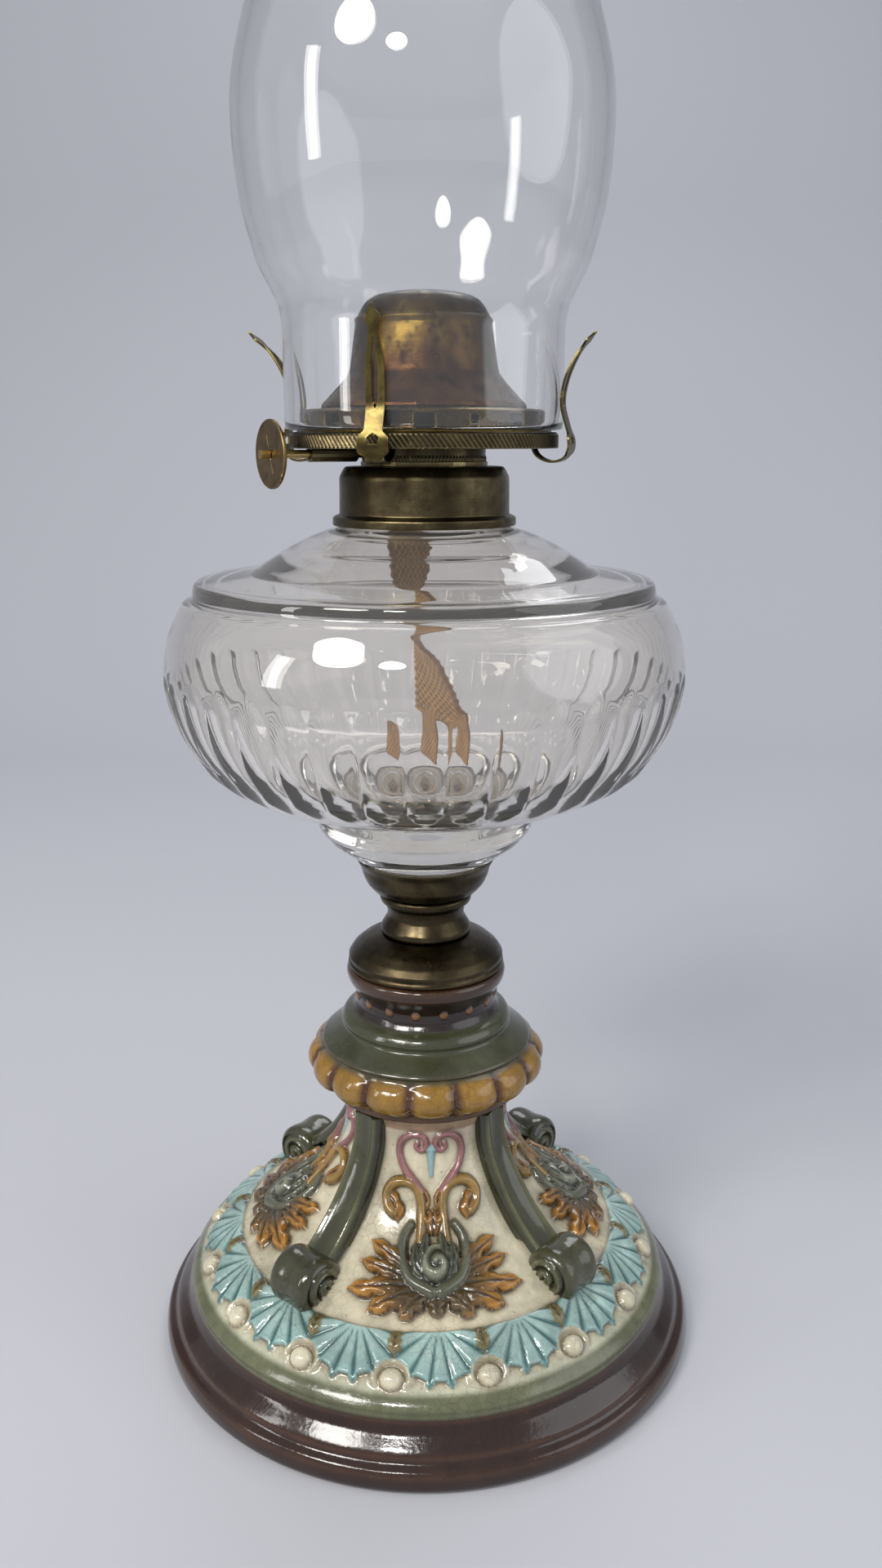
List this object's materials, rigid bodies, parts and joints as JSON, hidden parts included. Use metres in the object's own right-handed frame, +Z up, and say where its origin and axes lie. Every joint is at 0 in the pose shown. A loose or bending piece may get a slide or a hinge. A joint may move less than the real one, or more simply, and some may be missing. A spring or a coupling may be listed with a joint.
{
  "type": "oil lamp",
  "caption": "Table oil lamp with a scrolled ceramic base, fluted glass font, flat-wick brass burner with wick wheel, spring prongs and a tall glass chimney.",
  "frame": {"origin": "on the lamp's axis, in the plane that the foot stands on", "axes": "+Z up along the lamp's axis, -Y towards the side it is usually seen from, +X to the right of that view"},
  "size_m": [0.1672, 0.1672, 0.516],
  "materials": {
    "glazed_earthenware": "glossy majolica glaze in cream, turquoise, pink, amber, olive and aubergine brown",
    "patinated_brass": "dark olive-brown patina, worn bright on edges",
    "heated_brass": "copper-brown from heat",
    "iron": "plain dark",
    "plaster": "matt white filling plaster",
    "clear_glass": "clear, polished",
    "cotton_wick": "woven cotton browned by oil"
  },
  "bodies": {
    "base_and_font": {"ceramic_base": "glazed_earthenware", "tie_rod": "iron", "rod_nut": "iron", "rod_washer": "iron", "stem_cap": "patinated_brass", "stem_neck": "patinated_brass", "font_cup": "patinated_brass", "cup_nut": "iron", "cup_plaster": "plaster", "glass_font": "clear_glass", "font_collar": "patinated_brass", "collar_plaster": "plaster"},
    "thread_ring": {"burner_thread_ring": "patinated_brass"},
    "burner": {"burner_shell": "patinated_brass", "gallery_ring": "patinated_brass", "burner_deck": "patinated_brass", "wick_tube": "patinated_brass", "shaft_sleeve": "patinated_brass"},
    "cone": {"burner_cone": "heated_brass"},
    "wick_wheel": {"wick_shaft": "patinated_brass", "feed_wheel_1": "patinated_brass", "feed_wheel_2": "patinated_brass", "thumb_disc": "patinated_brass"},
    "wick_ribbon": {"wick": "cotton_wick"},
    "prong_front_left": {"prong_1": "patinated_brass"},
    "prong_right": {"prong_2": "patinated_brass"},
    "prong_back_right": {"prong_3": "patinated_brass"},
    "prong_left": {"prong_4": "patinated_brass"},
    "chimney_glass": {"chimney": "clear_glass"}
  },
  "joints": [
    {"name": "burner_rise", "type": "slide", "parent": "base_and_font", "child": "thread_ring", "axis": [0, 0, 1], "range_m": [0, 0.00542]},
    {"name": "burner_turn", "type": "hinge", "parent": "thread_ring", "child": "burner", "pos_m": [0, 0, 0.268], "axis": [0, 0, 1], "range_deg": [0, 1080]},
    {"name": "cone_lift", "type": "slide", "parent": "burner", "child": "cone", "axis": [0, 0, 1], "range_m": [0, 0.03]},
    {"name": "wick_wheel_turn", "type": "hinge", "parent": "burner", "child": "wick_wheel", "pos_m": [-0.00288, 0.0048, 0.2699], "axis": [-0.8572, -0.515, 0], "range_deg": [-40, 110]},
    {"name": "wick_raise", "type": "slide", "parent": "burner", "child": "wick_ribbon", "axis": [0, 0, 1], "range_m": [-0.0029, 0.008]},
    {"name": "prong_front_left_flex", "type": "hinge", "parent": "burner", "child": "prong_front_left", "pos_m": [-0.01038, -0.03196, 0.274], "axis": [0.9511, -0.309, 0], "range_deg": [0, 8], "stiffness_Nm_per_rad": 0.2, "springref_deg": -2.86},
    {"name": "prong_right_flex", "type": "hinge", "parent": "burner", "child": "prong_right", "pos_m": [0.03196, -0.01038, 0.274], "axis": [0.309, 0.9511, 0], "range_deg": [0, 8], "stiffness_Nm_per_rad": 0.2, "springref_deg": -2.86},
    {"name": "prong_back_right_flex", "type": "hinge", "parent": "burner", "child": "prong_back_right", "pos_m": [0.01038, 0.03196, 0.274], "axis": [-0.9511, 0.309, 0], "range_deg": [0, 8], "stiffness_Nm_per_rad": 0.2, "springref_deg": -2.86},
    {"name": "prong_left_flex", "type": "hinge", "parent": "burner", "child": "prong_left", "pos_m": [-0.03196, 0.01038, 0.274], "axis": [-0.309, -0.9511, 0], "range_deg": [0, 8], "stiffness_Nm_per_rad": 0.2, "springref_deg": -2.86},
    {"name": "chimney_lift", "type": "slide", "parent": "burner", "child": "chimney_glass", "axis": [0, 0, 1], "range_m": [0, 0.06]}
  ],
  "couplings": [
    {"joint": "burner_turn", "follows": "burner_rise", "rad_per_m": 3472},
    {"joint": "wick_wheel_turn", "follows": "wick_raise", "rad_per_m": 238}
  ]
}
